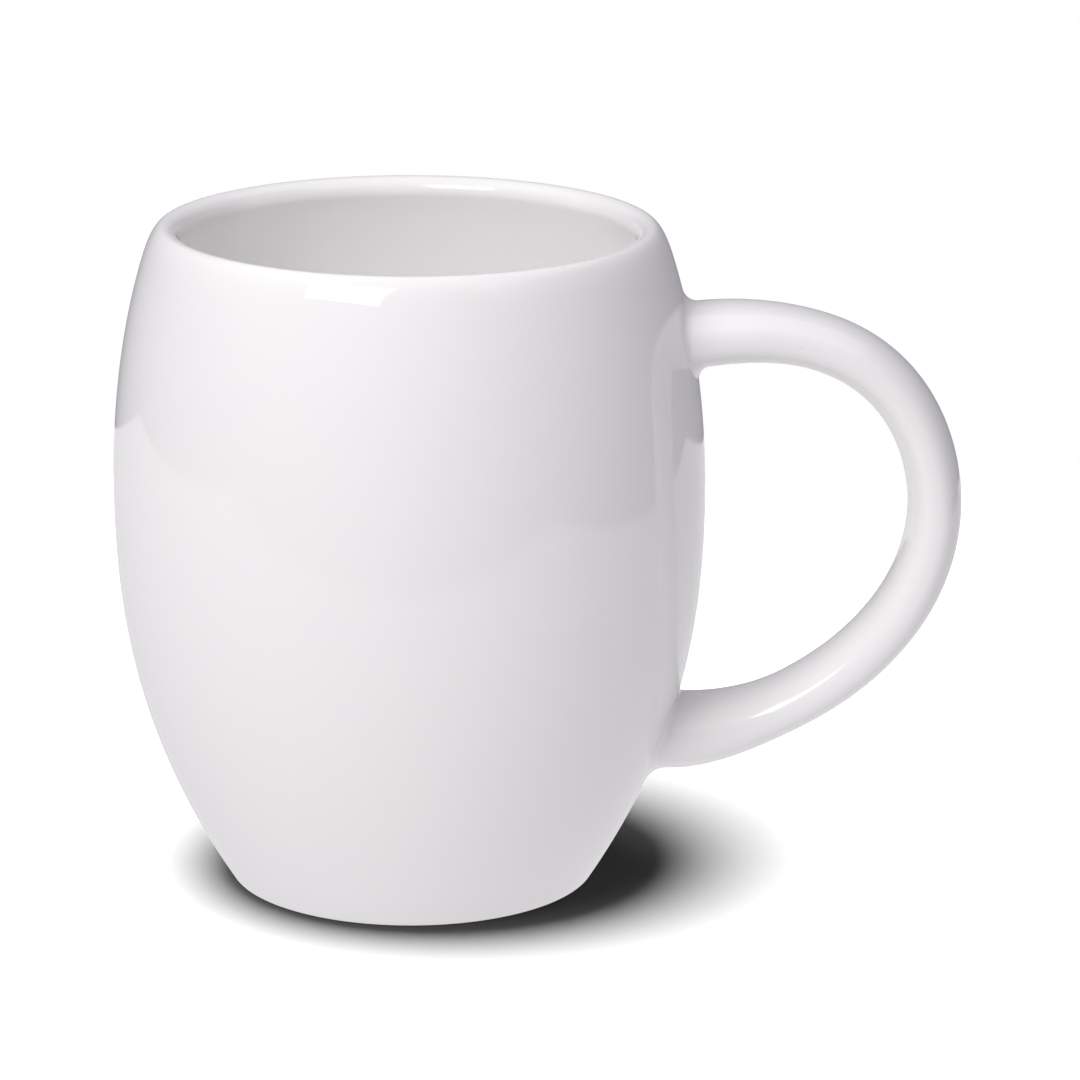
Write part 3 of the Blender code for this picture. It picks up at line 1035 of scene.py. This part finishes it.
@dataclass(frozen=True)
class Softbox:
    """A rectangular soft light that faces the middle of the mug.

    azimuth is measured from the front towards the handle and elevation above the table, in
    degrees. brightness is the light's own radiance. A light that isn't seen lights the mug but
    shows neither to the camera nor in reflections.
    """

    name: str
    azimuth: float
    elevation: float
    distance: float
    width: float
    height: float
    brightness: float
    seen: bool = True

    def build(self, aim: Array) -> None:
        """Hang the light, turned towards aim.

        Args:
            aim: Point that the light faces.
        """
        away = away_from_middle(self.azimuth, self.elevation)
        light = bpy.data.lights.new(self.name, "AREA")
        light.shape = "RECTANGLE"
        light.size, light.size_y = self.width, self.height
        light.energy = self.brightness * math.pi * self.width * self.height
        obj = bpy.data.objects.new(self.name, light)
        obj.matrix_world = Matrix.Translation(Vector(aim) + away * self.distance) @ turned_to(away)
        obj.visible_camera = obj.visible_glossy = self.seen
        bpy.context.scene.collection.objects.link(obj)


@dataclass(frozen=True)
class TableWash:
    """A wide, soft light that reaches the table alone, so the table stays paler than the mug.

    Angles are as for a softbox; spread is the light's own angular width in degrees. weight is the
    radiance that the light gives a flat, unshaded table.
    """

    name: str
    azimuth: float
    elevation: float
    spread: float
    weight: float

    def build(self, receivers: bpy.types.Collection, blockers: bpy.types.Collection, albedo: float) -> None:
        """Set the light up, linked to the given receivers and blockers.

        Args:
            receivers: Collection of the objects that the light reaches.
            blockers: Collection of the objects that shade them.
            albedo: The table's own reflectance, which the light's strength makes up for.
        """
        light = bpy.data.lights.new(self.name, "SUN")
        light.angle = math.radians(self.spread)
        light.energy = self.weight * math.pi / albedo
        obj = bpy.data.objects.new(self.name, light)
        obj.matrix_world = turned_to(away_from_middle(self.azimuth, self.elevation))
        obj.light_linking.receiver_collection = receivers
        obj.light_linking.blocker_collection = blockers
        bpy.context.scene.collection.objects.link(obj)


@dataclass(frozen=True)
class RoomGlow:
    """A broad patch of pale wall.

    At angle d from its middle its radiance is colour x ((1 + cos d) / 2) ** focus.
    """

    azimuth: float
    elevation: float
    focus: float
    colour: Colour

    def add_to(self, bench: NodeBench, facing: Socket) -> Socket:
        """Add the patch's nodes.

        Args:
            bench: Bench of the room's node tree.
            facing: Unit direction that is looked in.

        Returns:
            The patch's radiance in that direction.
        """
        middle = away_from_middle(self.azimuth, self.elevation)
        cosine = bench.vector_math("DOT_PRODUCT", "Value", {0: facing, 1: tuple(middle)})
        share = bench.math("MULTIPLY", bench.math("ADD", cosine, 1.0), 0.5)
        share = bench.math("POWER", bench.math("MAXIMUM", share, 0.0), self.focus)
        return bench.vector_math("SCALE", "Vector", {0: self.colour, "Scale": share})


@dataclass
class Studio:
    """A pale table, a pale room with brighter patches of wall, and a few softboxes.

    The table is seen by the camera alone. Its light on the mug comes from a card just under it,
    which shines evenly and isn't seen by the camera.
    """

    softboxes: tuple[Softbox, ...]
    mouth_fill: Softbox
    washes: tuple[TableWash, ...]
    glows: tuple[RoomGlow, ...]
    room: Colour = (0.145, 0.140, 0.160)
    table_corners: Corners = ((-0.25, -0.225), (0.25, 0.25))
    table_height: float = -0.05 * MM
    table_albedo: float = 0.04
    card_corners: Corners = ((-0.50, -0.225), (0.30, 0.30))
    card_height: float = -0.4 * MM
    card_colour: Colour = (0.80, 0.79, 0.81)
    camera_place: tuple[float, float, float] = (0.019279, -0.768806, 0.272516)
    camera_turn: tuple[float, float, float] = (74.3393, -0.2878, 1.4720)
    lens: float = 161.273

    def build_table(self) -> bpy.types.Object:
        """Lay the table just under the foot, its front edge a little before the mug.

        Returns:
            The table's object.
        """
        table = flat_sheet("table", self.table_corners, self.table_height)
        grey = (self.table_albedo,) * 3
        finish = {"Base Color": (*grey, 1.0), "Roughness": 1.0, "Specular IOR Level": 0.0}
        table.data.materials.append(plain_material("matt_table", finish))
        table.visible_diffuse = table.visible_glossy = table.visible_shadow = False
        table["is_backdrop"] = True
        return table

    def build_bounce_card(self) -> None:
        """Lay an evenly shining card under the table, which stands for the table's light on the mug."""
        card = flat_sheet("bounce_card", self.card_corners, self.card_height)
        glow = {"Emission Color": (*self.card_colour, 1.0), "Emission Strength": 1.0}
        finish = {"Base Color": (0.0, 0.0, 0.0, 1.0), "Specular IOR Level": 0.0, **glow}
        card.data.materials.append(plain_material("even_glow", finish))
        card.visible_camera = False
        card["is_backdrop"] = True

    def build_room(self) -> None:
        """Fill the room: an even pale light with the glows added, and plain white behind the table."""
        world = bpy.data.worlds.new("pale_room")
        world.use_nodes = True
        tree = world.node_tree
        tree.nodes.clear()
        bench = NodeBench(tree)
        facing = bench.add("ShaderNodeTexCoord").outputs["Generated"]
        total = bench.add("ShaderNodeCombineXYZ", inputs=dict(zip("XYZ", self.room))).outputs["Vector"]
        for glow in self.glows:
            total = bench.vector_math("ADD", "Vector", {0: total, 1: glow.add_to(bench, facing)})
        walls = bench.add("ShaderNodeBackground", inputs={"Color": total})
        beyond = bench.add("ShaderNodeBackground", inputs={"Color": (1.0, 1.0, 1.0, 1.0)})
        seen = bench.add("ShaderNodeLightPath").outputs["Is Camera Ray"]
        either = bench.add("ShaderNodeMixShader", inputs={0: seen, 1: walls.outputs[0], 2: beyond.outputs[0]})
        bench.add("ShaderNodeOutputWorld", inputs={"Surface": either.outputs["Shader"]})
        bpy.context.scene.world = world

    def build_camera(self) -> None:
        """Set the camera up in front of the mug, a little above it."""
        camera = bpy.data.cameras.new("camera")
        camera.lens = self.lens
        camera.sensor_width = 36.0
        camera.clip_start, camera.clip_end = 0.05, 50.0
        obj = bpy.data.objects.new("camera", camera)
        obj.location = self.camera_place
        obj.rotation_euler = [math.radians(turn) for turn in self.camera_turn]
        bpy.context.scene.collection.objects.link(obj)
        bpy.context.scene.camera = obj

    def build(self, mug: BarrelMug, aim: Array) -> None:
        """Build the whole studio.

        Args:
            mug: The mug, whose mouth the fill light hangs in.
            aim: Point that the other lights face.
        """
        table = self.build_table()
        self.build_bounce_card()
        self.build_room()
        self.build_camera()
        for softbox in self.softboxes:
            softbox.build(aim)
        receivers, blockers = (bpy.data.collections.new(name) for name in ("washed", "shades_the_table"))
        receivers.objects.link(table)
        blockers.objects.link(bpy.data.objects["cup"])
        for wash in self.washes:
            wash.build(receivers, blockers, self.table_albedo)
        self.mouth_fill.build(np.array([mug.cup.kiln.axis_x, 0.0, mug.cup.side.height]))
        bpy.context.scene.view_settings.view_transform = "Standard"


SOFTBOXES = (
    Softbox("key", -29.0, 40.5, 0.7, 0.36, 0.27, 6.6),
    Softbox("right_window", 50.0, 45.0, 0.8, 0.26, 0.36, 0.35),
    Softbox("left_high", -85.0, 50.0, 1.0, 0.7, 0.6, 0.40),
    Softbox("overhead", 0.0, 89.0, 0.9, 1.5, 1.5, 0.62),
)
MOUTH_FILL = Softbox("mouth_fill", 0.0, 90.0, 0.0, 0.05, 0.05, 0.40, seen=False)
WASHES = (
    TableWash("wash_above", -62.0, 79.3, 35.0, 1.56),
    TableWash("wash_wide", -95.0, 60.0, 90.0, 0.14),
)
GLOWS = (
    RoomGlow(-14.0, 12.0, 6.0, (0.53, 0.53, 0.53)),
    RoomGlow(180.0, 25.0, 3.0, (0.20, 0.195, 0.21)),
)


def main() -> None:
    """Build the mug and its studio, and log each piece's vertex and face counts."""
    logging.basicConfig(level=logging.INFO, format="%(name)s: %(message)s")
    cad_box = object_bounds()
    mug = BarrelMug.from_frame()
    for piece in mug.build():
        LOG.info("%s: %d vertices, %d faces", piece.name, len(piece.data.vertices), len(piece.data.polygons))
    Studio(SOFTBOXES, MOUTH_FILL, WASHES, GLOWS).build(mug, (cad_box[0] + cad_box[1]) / 2.0)


if __name__ == "__main__":
    main()
